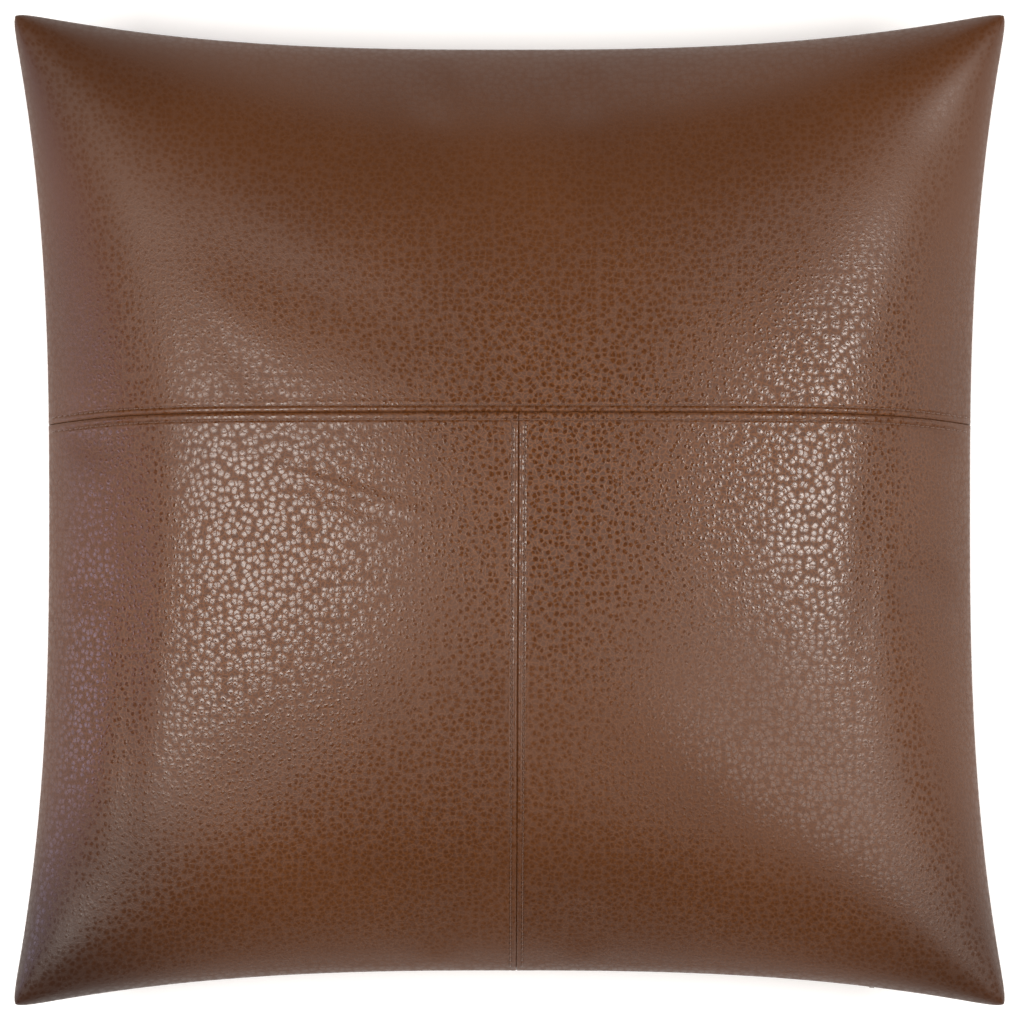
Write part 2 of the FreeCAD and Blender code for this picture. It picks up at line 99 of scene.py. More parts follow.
# stitching
PITCH = 3.4  # one stitch and its gap
STITCH_SHARE = 0.86  # of the pitch that the thread covers
THREAD_RADIUS, SEAM_THREAD_RADIUS, EDGE_THREAD_RADIUS, INSERT_THREAD_RADIUS = 0.3, 0.16, 0.2, 0.14
STITCH_LIFT, STITCH_DIVE = 0.1, 0.75  # a stitch's middle above its line, its ends below its middle
ARCH_POWER = 4  # a higher one bends a stitch nearer to its ends
STITCH_SLANT, SEAM_SLANT, EDGE_SLANT = 0.12, 0.5, 0.15
THREAD_PROUD = 0.8  # height of a visible row's line above the leather, as a share of the thread's radius
SEAM_THREAD_DEPTH = 0.85
ROW_REACH_T = 0.2  # the cross seam's threads end short of the outline at this t
ROW_INSET, SEAM_INSET = 2.5, 3.0  # how far short of the outline the rows and the joining threads end
BELOW_ROW, BELOW_SEAM = 1.2, 1.5  # gap between the cross seam's threads and the centre seam's
EDGE_INSET, INSERT_EDGE_INSET = 0.8, 0.4
PLIES, PLY_DEPTH, PLY_TURNS, YARN_FLATNESS = 3, 0.14, 0.7, 0.85
FINE_YARN, COARSE_YARN = (9, 10), (5, 6)  # rings along each stitch, points around

# soft folds of the front: middle x and y, direction in degrees, length, width and height
FOLDS = [
    (-104, 14, -17, 42, 4.0, 0.9),  # a short crease left of the middle
    (-98, 5, -20, 36, 5.0, -0.7),
    (-120, 132, -18, 110, 26, -1.3),
    (-160, 88, -48, 45, 12, -0.7),
    (-228, -95, 88, 150, 13, -1.4),  # along the left side
    (218, -25, 84, 85, 10, -0.8),  # along the right side
    (150, -165, -34, 120, 26, 1.5),
    (205, 95, 62, 60, 16, 0.8),
    (60, 215, 4, 120, 18, -0.8),
    (-40, -230, -3, 140, 20, -0.9),
    (-262, -236, 45, 48, 48, -2.6),  # slack corners
    (262, 232, 45, 48, 48, -2.4),
]
FOLD_FADE = 0.35  # share of the crown's height at which a fold is at its full height

# how coarse the hide's grain is: all over, near its top end, and where it changes between the two
FINE_GRAIN, TOP_GRAIN, TOP_GRAIN_FADE = 0.45, 0.14, (90, 235)
RIM_GRAIN, RIM_GRAIN_FADE = 0.6, (0, 45)  # share of the grain left at the rim, and where it grows
# where the grain is coarser: middle x and y, reach across and up, and how much more
COARSE_GRAIN = [
    (55, 22, 105, 75, 0.5),
    (-160, -45, 78, 95, 0.5),
    (192, 45, 62, 120, 0.45),
    (-258, -105, 32, 70, 0.35),
]

# painted shade: where the leather's colour is darkened to stand in for shade towards the corners and the
# bottom, x and y of the middle, reach and share
SHADE_PAINTED_PLACES = [
    (-290, -285, 90, 0.85),
    (290, -285, 80, 0.55),
    (-290, 285, 75, 0.35),
    (0, -300, 150, 0.12),
    (-228, -200, 40, 0.2),
]

# where on the hide each panel was cut from, in metres
CUT_FROM = {
    "top_leather": (0.0, 0.0, 0.0),
    "left_leather": (1.37, 0.21, 0.0),
    "right_leather": (2.61, 0.83, 0.0),
    "back_leather": (0.3, 2.17, 0.0),
}

# cloth simulation, whose settings are Blender's own
SIM_POINTS = 81  # along each side of a face
SIM_FRAMES = 20
SIM_CLOTH = {
    "quality": 6,
    "mass": 0.4,
    "tension_stiffness": 20,
    "compression_stiffness": 20,
    "shear_stiffness": 8,
    "bending_stiffness": 10,
    "use_pressure": True,
    "uniform_pressure_force": 3,
    "shrink_min": -0.002,  # below zero, so the leather gives a little
    "vertex_group_mass": "pins",
}
RESTING = 1.0  # a point lower than this rests on the floor
SWELL_CAP = 6.0  # no point moves further

# filling and label
INSERT_POINTS = 72  # along each side of a face of the insert
SLACK, LUMPINESS = 0.8, 0.6  # how far the insert's crown has sunk, and how much of the lumps it shows
LABEL_SPAN = (-0.995, -0.90)  # of s
LABEL_POINTS = (25, 31)  # up and across
LABEL_DEPTH, LABEL_THICKNESS, LABEL_RIPPLE, LABEL_WAVES = 0.5, 0.3, 0.12, 9


# ---------------------------------------------------------------- the stuffed shape

def mix(low, high, share):
    return low + (high - low) * share


def smoothstep(v, low, high):
    share = np.clip((v - low) / (high - low), 0, 1)
    return share * share * (3 - 2 * share)


def bell(v, width):
    return np.exp(-(v / width) ** 2)


def half_width(v, inset=0.0):
    """Half the distance between two opposite sides, at the place v along them, from -1 to 1."""
    return HALF_SIZE - inset - SIDE_PULL * (1 - np.abs(v) ** SIDE_POWER)


def plan(s, t, inset=0.0):
    """The x and y of a place on the patch: the sides pull in and the corners are cut a little."""
    rounding = 1 - CORNER_CUT * np.abs(s * t) ** CORNER_POWER
    return s * half_width(t, inset) * rounding, t * half_width(s, inset) * rounding


def profile(v):
    """The height of a section of the cover: 1 in the middle and 0 at the edges."""
    def raw(u):
        return np.maximum(1 - u * u + PROFILE_EASE, TINY) ** PROFILE_POWER
    return (raw(v) - raw(1.0)) / (raw(0.0) - raw(1.0))


def crown(s, t):
    """The height of a face at s and t, as a share of its middle's."""
    a, b = profile(s), profile(t)
    return a * b / (a + b - a * b + EAR * (1 - a) * (1 - b))


def front_height(s, t):
    return FRONT_RISE * crown(s, t)


def back_height(s, t):
    def eased(v):
        return 0.5 * (v + np.hypot(v, FLOOR_EASE))
    deepest = SEAM_HEIGHT - PERIMETER_GAP - LEATHER
    above = deepest - BACK_FALL * crown(s, t)
    share = above / deepest
    return eased(above) - (eased(deepest) - deepest) * share - FLOOR_TRIM * (1 - share) - deepest


def normals_of(surface, s, t, step=5e-4):
    """Upward unit normals of a surface given as a function of s and t."""
    s0, s1 = np.clip(s - step, -1, 1), np.clip(s + step, -1, 1)
    t0, t1 = np.clip(t - step, -1, 1), np.clip(t + step, -1, 1)
    n = np.cross(surface(s1, t) - surface(s0, t), surface(s, t1) - surface(s, t0))
    return n / np.linalg.norm(n, axis=-1, keepdims=True)


def cad_skin(side):
    """The CAD's outer leather face on one side, as a function of s and t."""
    height = front_height if side == FRONT else back_height

    def bare(s, t):
        return np.stack([*plan(s, t), height(s, t)], axis=-1)

    def skin(s, t):
        points = bare(s, t)
        lift = LEATHER * normals_of(bare, s, t)[..., 2]
        points[..., 2] += SEAM_HEIGHT + side * (PERIMETER_GAP + lift)
        return points
    return skin


def make_mesh(points, faces, name):
    mesh = bpy.data.meshes.new(name)
    mesh.from_pydata((np.asarray(points) * MM).tolist(), [], faces)
    mesh.validate()
    mesh.update()
    return mesh


def add_piece(name, points, faces, material, nodes, body="cover"):
    mesh = make_mesh(points, faces, name)
    mesh.shade_smooth()
    piece = bpy.data.objects.new(name, mesh)
    bpy.context.scene.collection.objects.link(piece)
    mesh.materials.append(material)
    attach(piece, body)
    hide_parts(*nodes)
    return piece


def grid_faces(rows, columns, start=0, flip=False):
    faces = []
    for j in range(rows - 1):
        for i in range(columns - 1):
            a = start + j * columns + i
            face = (a, a + 1, a + columns + 1, a + columns)
            faces.append(face[::-1] if flip else face)
    return faces


def closed_sheet(name, near, far, material, nodes, flip=False):
    """A thin closed piece between two grids of points."""
    rows, columns = near.shape[:2]
    count = rows * columns
    faces = grid_faces(rows, columns, 0, flip) + grid_faces(rows, columns, count, not flip)
    index = np.arange(count).reshape(rows, columns)
    loop = np.concatenate([index[0, :-1], index[:-1, -1], index[-1, :0:-1], index[:0:-1, 0]]).tolist()
    for a, b in zip(loop, loop[1:] + loop[:1]):
        wall = (a, a + count, b + count, b)
        faces.append(wall[::-1] if flip else wall)
    points = np.concatenate([near.reshape(-1, 3), far.reshape(-1, 3)])
    return add_piece(name, points, faces, material, nodes)


# ---------------------------------------------------------------- stuffing the cover

def simulation_mesh():
    """Both faces of the cover as one closed mesh, with the index of each grid point in it."""
    span = np.linspace(-1, 1, SIM_POINTS)
    s, t = np.meshgrid(span, span)
    front, back = cad_skin(FRONT)(s, t), cad_skin(BACK)(s, t)
    edge = np.maximum(np.abs(s), np.abs(t)) > 1 - TINY
    front[edge, 2] = SEAM_HEIGHT
    front_index = np.arange(SIM_POINTS ** 2).reshape(SIM_POINTS, SIM_POINTS)
    back_index = front_index.copy()
    back_index[~edge] = SIM_POINTS ** 2 + np.arange((~edge).sum())
    points = np.concatenate([front.reshape(-1, 3), back[~edge]])
    faces = grid_faces(SIM_POINTS, SIM_POINTS)
    flat = back_index.reshape(-1)
    faces += [tuple(int(flat[i]) for i in reversed(face)) for face in faces]
    return points, faces, front_index, back_index, edge


def stuff_cover():
    """Inflate the cover with Blender's cloth and return how far each face's grid points move."""
    points, faces, front_index, back_index, edge = simulation_mesh()
    bag = bpy.data.objects.new("stuffing_bag", make_mesh(points, faces, "stuffing_bag"))
    bpy.context.scene.collection.objects.link(bag)
    pins = bag.vertex_groups.new(name="pins")
    on_floor = np.flatnonzero(points[:, 2] < RESTING)
    pins.add(np.concatenate([front_index[edge], on_floor]).tolist(), 1.0, "REPLACE")
    cloth = bag.modifiers.new("stuffing", "CLOTH").settings
    for setting, value in SIM_CLOTH.items():
        setattr(cloth, setting, value)
    cloth.effector_weights.gravity = 0
    for frame_number in range(1, SIM_FRAMES + 1):
        bpy.context.scene.frame_set(frame_number)
    stuffed = bag.evaluated_get(bpy.context.evaluated_depsgraph_get()).to_mesh()
    moved = np.array([v.co for v in stuffed.vertices]) / MM - points
    bpy.data.objects.remove(bag)
    bpy.context.scene.frame_set(1)
    length = np.linalg.norm(moved, axis=1, keepdims=True)
    moved *= SWELL_CAP * np.tanh(length / SWELL_CAP) / np.maximum(length, TINY)
    print("stuffing moved points by", length.mean(), "mm, at most", length.max())
    return {FRONT: moved[front_index], BACK: moved[back_index]}


def cubic_weights(f):
    """Catmull-Rom weights of four neighbours, for the place f between the middle two."""
    return (
        ((2 - f) * f - 1) * f / 2,
        ((3 * f - 5) * f * f + 2) / 2,
        ((4 - 3 * f) * f + 1) * f / 2,
        (f - 1) * f * f / 2,
    )


def sample(field, s, t):
    """The field's smooth value at s and t."""
    last = SIM_POINTS - 1
    u, v = (s + 1) / 2 * last, (t + 1) / 2 * last
    i, j = np.clip(np.floor(u).astype(int), 0, last - 1), np.clip(np.floor(v).astype(int), 0, last - 1)
    total = 0
    for b, wb in enumerate(cubic_weights(v - j)):
        for a, wa in enumerate(cubic_weights(u - i)):
            neighbour = field[np.clip(j + b - 1, 0, last), np.clip(i + a - 1, 0, last)]
            total = total + neighbour * (wa * wb)[..., None]
    return total


swell = stuff_cover()


def fold_height(x, y):
    """How far the folds lift the front at a place seen from above."""
    total = 0
    for middle_x, middle_y, degrees, length, width, height in FOLDS:
        turn = math.radians(degrees)
        right, up = x - middle_x, y - middle_y
        along = right * math.cos(turn) + up * math.sin(turn)
        aside = up * math.cos(turn) - right * math.sin(turn)
        total = total + height * bell(along, length) * bell(aside, width)
    return total


def fold_share(s, t):
    """How much of its height a fold has at s and t: none at the edge."""
    return smoothstep(crown(s, t), 0, FOLD_FADE)


def skin_of(side):
    """The stuffed cover's outer face on one side, as a function of s and t."""
    base = cad_skin(side)

    def skin(s, t):
        points = base(s, t) + sample(swell[side], s, t)
        if side == FRONT:
            points[..., 2] += fold_height(points[..., 0], points[..., 1]) * fold_share(s, t)
        points[..., 2] = np.maximum(points[..., 2], 0)
        return points
    return skin


skins = {FRONT: skin_of(FRONT), BACK: skin_of(BACK)}


def on_skin(side, s, t, lift):
    """Points that far above a face, and the way out of it there."""
    inside_s, inside_t = np.clip(s, -RIM_NORMAL, RIM_NORMAL), np.clip(t, -RIM_NORMAL, RIM_NORMAL)
    out = side * normals_of(skins[side], inside_s, inside_t)
    return skins[side](s, t) + out * np.asarray(lift)[..., None], out


# ---------------------------------------------------------------- seams

def cross_seam_y(x):
    """The cross seam bends down at both its ends."""
    share = np.minimum(np.abs(x) / half_width(0.0), 1)
    return CROSS_SEAM_Y - CROSS_SEAM_SAG * share ** CROSS_SEAM_POWER


def centre_seam_x(y):
    """The centre seam leans a little left on its way down."""
    return CENTRE_SEAM_X - CENTRE_SEAM_LEAN * (CROSS_SEAM_Y - y) / (CROSS_SEAM_Y + half_width(0.0))


def patch_place(x, y):
    """The s and t of a place seen from above, well inside the corners."""
    s = t = np.zeros(np.broadcast(x, y).shape)
    for _ in range(PLACE_ROUNDS):
        s, t = x / half_width(t), y / half_width(s)
    return s, t


def seam_relief(distance, row, along, from_rim):
    """The leather beside a topstitched seam: padded by the turned allowance, pressed by the thread."""
    sunk = smoothstep(distance, row + PADDING_END[0], row + PADDING_END[1])
    rise = smoothstep(distance, 0, PADDING_START) - sunk
    pucker = 1 + PUCKER * np.cos(2 * math.pi * along / PITCH)
    relief = PADDING * rise - PRESSED * pucker * bell(distance - row, PRESSED_WIDTH)
    return relief * mix(RIM_RELIEF, 1.0, smoothstep(from_rim, *RIM_RELIEF_FADE))


def edge_roll(distance):
    """How far a folded edge drops, by the distance from its end."""
    left = np.clip(EDGE_ROLL - distance, 0, EDGE_ROLL)
    return EDGE_ROLL - np.sqrt(np.maximum(EDGE_ROLL ** 2 - left ** 2, 0))


# ---------------------------------------------------------------- leather panels

def rim_distance(s, t):
    """About how far a point is from the nearest side of the outline."""
    return np.minimum((1 - np.abs(s)) * half_width(t), (1 - np.abs(t)) * half_width(s))


def seam_steps(row):
    """Distances from a seam at which the panel has grid lines, closest around the thread row."""
    before = [d for d in ROW_STEPS if d < row - CLEAR_OF_ROW]
    return before + [row - BEFORE_ROW, row] + [row + d for d in AFTER_ROW]


def grid_lines(near, count, far):
    """Lines from one border to another: distance from the first, share between, distance from the last."""
    lines = [(d, 0.0, far[-1]) for d in near]
    lines += [(near[-1], k / (count + 1), far[-1]) for k in range(1, count + 1)]
    lines += [(near[-1], 1.0, d) for d in reversed(far)]
    return np.array(lines).T


def between(low, high, lines):
    """Where grid_lines puts its lines, with the borders at low and high."""
    near, share, far = lines
    return mix(low + near, high - far, share)


def settle(columns, rows, x_borders, y_borders):
    """The (s, t) of every crossing of a panel's grid lines, whose borders depend on each other."""
    columns, rows = columns[:, None, :], rows[:, :, None]
    s = t = np.zeros((rows.shape[1], columns.shape[2]))
    for _ in range(SETTLE_ROUNDS):
        x, y = s * half_width(t), t * half_width(s)
        x = between(*x_borders(s, t, y), columns)
        y = between(*y_borders(s, t, x), rows)
        s, t = np.clip(x / half_width(t), -1, 1), np.clip(y / half_width(s), -1, 1)
    return s, t


def flat_place(side):
    """How far each grid point of a face is from its middle along the leather, in mm."""
    span = np.linspace(-1, 1, SIM_POINTS)
    s, t = np.meshgrid(span, span)
    points = skins[side](s, t)
    field = np.zeros(points.shape)
    for axis, part in ((1, 0), (0, 1)):
        lengths = np.linalg.norm(np.diff(points, axis=axis), axis=-1)
        total = np.insert(np.cumsum(lengths, axis=axis), 0, 0, axis=axis)
        field[..., part] = total - np.take(total, [SIM_POINTS // 2], axis=axis)
    return field


flat_places = {side: flat_place(side) for side in (FRONT, BACK)}


def mark_hide(piece, side, s, t, cut_from):
    """Store each point's place on the flat hide, in metres, its grain, and its darkness of painted shade
    towards the corners and the bottom.
    """
    place = sample(flat_places[side], s, t).reshape(-1, 3) * MM + np.array(cut_from)
    mark = piece.data.attributes.new("hide_place", "FLOAT_VECTOR", "POINT")
    mark.data.foreach_set("vector", np.tile(place, (2, 1)).astype(np.float32).reshape(-1))
    x, y = plan(s, t)
    grain = mix(FINE_GRAIN, TOP_GRAIN, smoothstep(y, *TOP_GRAIN_FADE))
    for middle_x, middle_y, across, up, more in COARSE_GRAIN:
        grain += more * bell(x - middle_x, across) * bell(y - middle_y, up)
    grain *= mix(RIM_GRAIN, 1.0, smoothstep(rim_distance(s, t), *RIM_GRAIN_FADE))
    # painted shade: how much the colour is darkened to stand in for shade towards the corners and the
    # bottom
    dark = 0
    for middle_x, middle_y, reach, share in SHADE_PAINTED_PLACES:
        dark = dark + share * bell(np.hypot(x - middle_x, y - middle_y), reach)
    for name, values in (("grain", grain), ("dark", dark)):
        mark = piece.data.attributes.new(name, "FLOAT", "POINT")
        mark.data.foreach_set("value", np.tile(values.reshape(-1), 2).astype(np.float32))


def leather_shell(name, side, s, t, relief, material, nodes):
    """A closed leather panel: its outer face, its flesh side and the cut edge between them."""
    outer, out = on_skin(side, s, t, relief)
    inner = outer - out * (LEATHER - THINNED)
    outer[..., 2] = np.maximum(outer[..., 2], 0)
    inner[..., 2] = np.maximum(inner[..., 2], LEATHER / 2)
    piece = closed_sheet(name, outer, inner, material, nodes, side == BACK)
    mark_hide(piece, side, s, t, CUT_FROM[name])
    return piece


def top_leather(material):
    columns = grid_lines(RIM_STEPS, TOP_LINES[0], RIM_STEPS)
    rows = grid_lines(seam_steps(ROW_ABOVE), TOP_LINES[1], RIM_STEPS)
    s, t = settle(
        columns, rows,
        lambda s, t, y: (-half_width(t), half_width(t)),
        lambda s, t, x: (cross_seam_y(x), half_width(s)),
    )
    x, y = plan(s, t)
    distance, from_rim = y - cross_seam_y(x), rim_distance(s, t)
    relief = seam_relief(distance, ROW_ABOVE, x, from_rim) - edge_roll(distance) - edge_roll(from_rim)
    return leather_shell("top_leather", FRONT, s, t, relief, material, ["front_top_panel"])


def lower_leather(name, sign, material, nodes):
    """A panel below the cross seam: sign is -1 for the left one and 1 for the right one."""
    beside, below = seam_steps(ROW_ASIDE), seam_steps(ROW_BELOW)
    near, far = (RIM_STEPS, beside) if sign < 0 else (beside, RIM_STEPS)
    columns = grid_lines(near, LOWER_LINES[0], far)
    rows = grid_lines(RIM_STEPS, LOWER_LINES[1], below)

    def x_borders(s, t, y):
        seam = centre_seam_x(y)
        return (-half_width(t), seam) if sign < 0 else (seam, half_width(t))
    s, t = settle(columns, rows, x_borders, lambda s, t, x: (-half_width(s), cross_seam_y(x)))
    x, y = plan(s, t)
    across, aside = cross_seam_y(x) - y, np.abs(x - centre_seam_x(y))
    from_rim = rim_distance(s, t)
    beside_centre = seam_relief(aside, ROW_ASIDE, y, from_rim) * smoothstep(across, *CROSSING_FADE)
    relief = seam_relief(across, ROW_BELOW, x, from_rim) + beside_centre
    relief -= edge_roll(across) + edge_roll(aside) + edge_roll(from_rim)
    return leather_shell(name, FRONT, s, t, relief, material, nodes)


def lip_drop(x):
    """How far the back's lip hangs below the seam's height, at that x."""
    return LIP_DROP * smoothstep(-np.abs(x), -LIP_HALF - LIP_BLEND, -LIP_HALF)


def lip_t(s):
    """The t at which the back's skin has dropped by lip_drop, for each s."""
    low, high = np.full(s.shape, LIP_LOWEST), np.full(s.shape, LIP_HIGHEST)
    target = skins[BACK](s, low)[..., 2] - lip_drop(s * half_width(1.0))
    for _ in range(HALVINGS):
        middle = (low + high) / 2
        above = skins[BACK](s, middle)[..., 2] > target
        low, high = np.where(above, middle, low), np.where(above, high, middle)
    return low


def back_leather(material):
    columns = grid_lines(RIM_STEPS, BACK_LINES[0], RIM_STEPS)
    rows = grid_lines(RIM_STEPS, BACK_LINES[1], RIM_STEPS)

    def y_borders(s, t, x):
        return lip_t(s[0])[None, :] * half_width(s), half_width(s)
    s, t = settle(columns, rows, lambda s, t, y: (-half_width(t), half_width(t)), y_borders)
    from_lip = (t - t[:1]) * half_width(s)
    rim = np.minimum(rim_distance(s, np.maximum(t, 0)), from_lip)
    return leather_shell("back_leather", BACK, s, t, -edge_roll(rim), material, ["back_panel"])


# ---------------------------------------------------------------- threads

def yarn(centres, out, radius, around, turns=PLY_TURNS):
    """Rings of a twisted thread along each stitch: centres and out are (stitches, points, 3)."""
    ahead = np.gradient(centres, axis=1)
    ahead /= np.linalg.norm(ahead, axis=-1, keepdims=True)
    across = np.cross(ahead, out)
    across /= np.linalg.norm(across, axis=-1, keepdims=True)
    up = np.cross(across, ahead)
    angle = np.linspace(0, 2 * math.pi, around, endpoint=False)
    steps = np.linspace(0, 1, centres.shape[1])[:, None]
    lobes = radius * (1 + PLY_DEPTH * np.cos(PLIES * (angle[None, :] - 2 * math.pi * turns * steps)))
    x = (lobes * np.cos(angle))[None, ..., None]
    y = (lobes * np.sin(angle) * YARN_FLATNESS)[None, ..., None]
    return centres[:, :, None] + across[:, :, None] * x + up[:, :, None] * y


def tube_faces(stitches, length, around):
    """Side faces and end caps of many closed tubes."""
    faces = []
    for k in range(stitches):
        start = k * length * around
        for j in range(length - 1):
            for i in range(around):
                a, b = start + j * around + i, start + j * around + (i + 1) % around
                faces.append((a, b, b + around, a + around))
        end = start + (length - 1) * around
        faces.append(tuple(range(start + around - 1, start - 1, -1)))
        faces.append(tuple(range(end, end + around)))
    return faces


def stitch_row(name, line, span, material, nodes, radius, slant, detail):
    """A row of separate stitches. line(u, side) gives points and the way out at the distance u."""
    points, around = detail
    count = int((span[1] - span[0]) / PITCH)
    starts = mix(span[0], span[1], (np.arange(count) + 0.5) / count)
    share = np.linspace(-0.5, 0.5, points)
    u = starts[:, None] + share[None, :] * PITCH * STITCH_SHARE
    side = np.broadcast_to(share[None, :] * slant * 2, u.shape)
    arch = 1 - (np.abs(share) * 2) ** ARCH_POWER
    places, out = line(u, side)
    centres = places + out * (STITCH_LIFT + mix(-STITCH_DIVE, 0.0, arch))[None, :, None]
    rings = yarn(centres, out, radius, around)
    faces = tube_faces(count, points, around)
    return add_piece(name, rings.reshape(-1, 3), faces, material, nodes)


def row_lift(row):
    """The height of the pressed leather under a row of stitches."""
    return float(seam_relief(np.array(row), row, np.array(PITCH / 2), np.array(HALF_SIZE)))


def cross_line(offset, lift):
    """The cross seam's line, moved up by the offset, that far above the leather."""
    def line(u, side):
        return on_skin(FRONT, *patch_place(u, cross_seam_y(u) + offset + side), np.full(u.shape, lift))
    return line


def centre_line(offset, lift):
    """The centre seam's line, moved right by the offset, that far above the leather."""
    def line(u, side):
        return on_skin(FRONT, *patch_place(centre_seam_x(u) + offset + side, u), np.full(u.shape, lift))
    return line


def topstitching(material):
    """The four visible rows, each lying in the groove that its thread has pressed."""
    reach = float(half_width(ROW_REACH_T)) - ROW_INSET
    bottom, top = -float(half_width(0.0)) + ROW_INSET, CROSS_SEAM_Y - ROW_BELOW - BELOW_ROW
    above, below, aside = (
        row_lift(row) + THREAD_RADIUS * THREAD_PROUD for row in (ROW_ABOVE, ROW_BELOW, ROW_ASIDE)
    )
    for name, line, span, node in [
        ("stitches_above", cross_line(ROW_ABOVE, above), (-reach, reach), "topstitch_above"),
        ("stitches_below", cross_line(-ROW_BELOW, below), (-reach, reach), "topstitch_below"),
        ("stitches_left", centre_line(-ROW_ASIDE, aside), (bottom, top), "topstitch_left"),
        ("stitches_right", centre_line(ROW_ASIDE, aside), (bottom, top), "topstitch_right"),
    ]:
        stitch_row(name, line, span, material, [node], THREAD_RADIUS, STITCH_SLANT, FINE_YARN)


def joining_seams(material):
    """The threads that join the panels, down in the seams' grooves."""
    reach = float(half_width(ROW_REACH_T)) - SEAM_INSET
    bottom, top = -float(half_width(0.0)) + SEAM_INSET, CROSS_SEAM_Y - BELOW_SEAM
    for name, line, span, node in [
        ("cross_seam_stitches", cross_line(0, -SEAM_THREAD_DEPTH), (-reach, reach), "cross_seam_thread"),
        ("centre_seam_stitches", centre_line(0, -SEAM_THREAD_DEPTH), (bottom, top), "centre_seam_thread"),
    ]:
        stitch_row(name, line, span, material, [node], SEAM_THREAD_RADIUS, SEAM_SLANT, COARSE_YARN)


def edge_line(corner_from, corner_to, inset):
    """A side of the outline at the seam's height. u runs from 0 to 1 along it."""
    def line(u, side):
        s, t = mix(corner_from[0], corner_to[0], u), mix(corner_from[1], corner_to[1], u)
        x, y = plan(s, t, inset)
        points = np.stack([x, y, np.full(u.shape, SEAM_HEIGHT)], axis=-1)
        points[..., 2] += side
        out = np.zeros(points.shape)
        out[..., 0], out[..., 1] = corner_to[1] - corner_from[1], corner_from[0] - corner_to[0]
        return points, -out / np.linalg.norm(out, axis=-1, keepdims=True)
    return line


def edge_stitches(name, sides, inset, radius, material, node):
    """Stitches in the knife edge, along each given side from one (s, t) to another."""
    points, around = COARSE_YARN
    rings, total = [], 0
    for start, end in sides:
        length = math.hypot(end[0] - start[0], end[1] - start[1]) * HALF_SIZE
        count = int(length / PITCH)
        middle = (np.arange(count) + 0.5) / count
        share = np.linspace(-0.5, 0.5, points)
        u = middle[:, None] + share[None, :] * STITCH_SHARE / count
        side = np.broadcast_to(share[None, :] * EDGE_SLANT * 2, u.shape)
        places, out = edge_line(start, end, inset)(u, side)
        rings.append(yarn(places, out, radius, around).reshape(-1, 3))
        total += count
    faces = tube_faces(total, points, around)
    return add_piece(name, np.concatenate(rings), faces, material, [node])


def perimeter_stitches(material):
    """The knife edge's thread: all round, from one end of the zip to the other."""
    zip_end = (LIP_HALF + LIP_BLEND) / float(half_width(1.0))
    path = [(-zip_end, -1), *CORNERS, (zip_end, -1)]
    edge_stitches("edge_stitches", zip(path, path[1:]), EDGE_INSET, EDGE_THREAD_RADIUS, material,
                  "perimeter_seam_thread")


# ---------------------------------------------------------------- zip

def zip_arc():
    """The radius and the centre's y of the circle that the zip runs along, close to the bottom edge."""
    y_end = float(half_width(ZIP_HALF / half_width(1.0)))
    start = float(half_width(0.0))
    sag = y_end - start
    radius = (ZIP_HALF ** 2 + sag ** 2) / (2 * sag)
    middle = float(half_width(ZIP_HALF / 2 / half_width(1.0)))
    on_arc = start + radius - math.sqrt(radius ** 2 - (ZIP_HALF / 2) ** 2)
    return radius, -start - radius + (on_arc - middle) / 2


ARC_RADIUS, ARC_Y = zip_arc()


def zip_place(u, depth, height):
    """Points at the arc length u from the zip's middle, that deep inside the edge and that high."""
    angle, radius = u / ARC_RADIUS, ARC_RADIUS + depth
    u, depth, height = np.broadcast_arrays(u, depth, height)
    return np.stack([radius * np.sin(angle), ARC_Y + radius * np.cos(angle),
                     SEAM_HEIGHT + ZIP_LINE + height], axis=-1)


def zip_coil(name, side, material, node):
    """A nylon spiral: one fine helix inside the round bar that stands for it."""
    turns = int(2 * ZIP_HALF / COIL_PITCH)
    count = turns * COIL_STEPS
    angle = np.arange(count) * 2 * math.pi / COIL_STEPS
    u = mix(-ZIP_HALF, ZIP_HALF, np.arange(count) / (count - 1))
    reach = COIL_RADIUS - COIL_WIRE
    centres = zip_place(u, COIL_DEPTH + reach * np.cos(angle), side * COIL_OFFSET + reach * np.sin(angle))
    axis = zip_place(u, COIL_DEPTH, side * COIL_OFFSET)
    rings = yarn(centres[None], (centres - axis)[None], COIL_WIRE, COIL_AROUND, turns=0)
    faces = tube_faces(1, count, COIL_AROUND)
    return add_piece(name, rings.reshape(-1, 3), faces, material, [node])


def zip_tape(name, side, material, node):
    """Half the tape: upright beside the coil, then leaning in along the leather."""
    u = np.linspace(-LIP_HALF, LIP_HALF, TAPE_POINTS)
    heights = np.array(TAPE_HEIGHTS)
    depths = COIL_DEPTH + np.maximum(heights - TAPE_KNEE, 0) / TAPE_SLOPE
    near, far = (
        zip_place(u[None, :], depths[:, None] + shift, side * heights[:, None])
        for shift in (-TAPE / 2, TAPE / 2)
    )
    return closed_sheet(name, near, far, material, [node], side < 0)


# ---------------------------------------------------------------- insert and label

def lumps(x, y):
    """Soft unevenness of the filling: two crossing sets of waves."""
    return 0.7 * np.sin(x / 31 + 1.3) * np.sin(y / 37) + 0.5 * np.sin(x / 17 - y / 23)


def insert_face(side, depth):
    """A face of the insert, that far inside its outer one."""
    span = np.sin(np.linspace(-math.pi / 2, math.pi / 2, INSERT_POINTS))
    s, t = np.meshgrid(span, span)
    inset = INSERT_INSET + depth
    if side == FRONT:
        rise = (FRONT_RISE - INSERT_CLEARANCE - depth) * crown(s, t)
    else:
        rise = back_height(s, t) * (SEAM_HEIGHT - INSERT_CLEARANCE - depth) / SEAM_HEIGHT
    x, y = plan(s, t, inset)
    sunk = (SLACK + lumps(x, y) * LUMPINESS) * crown(s, t)
    level = SEAM_HEIGHT + side * INSERT_GAP + rise - side * sunk
    if side == FRONT:
        level += np.minimum(fold_height(x, y), 0) * fold_share(s, t)
    return np.stack([x, y, level], axis=-1)


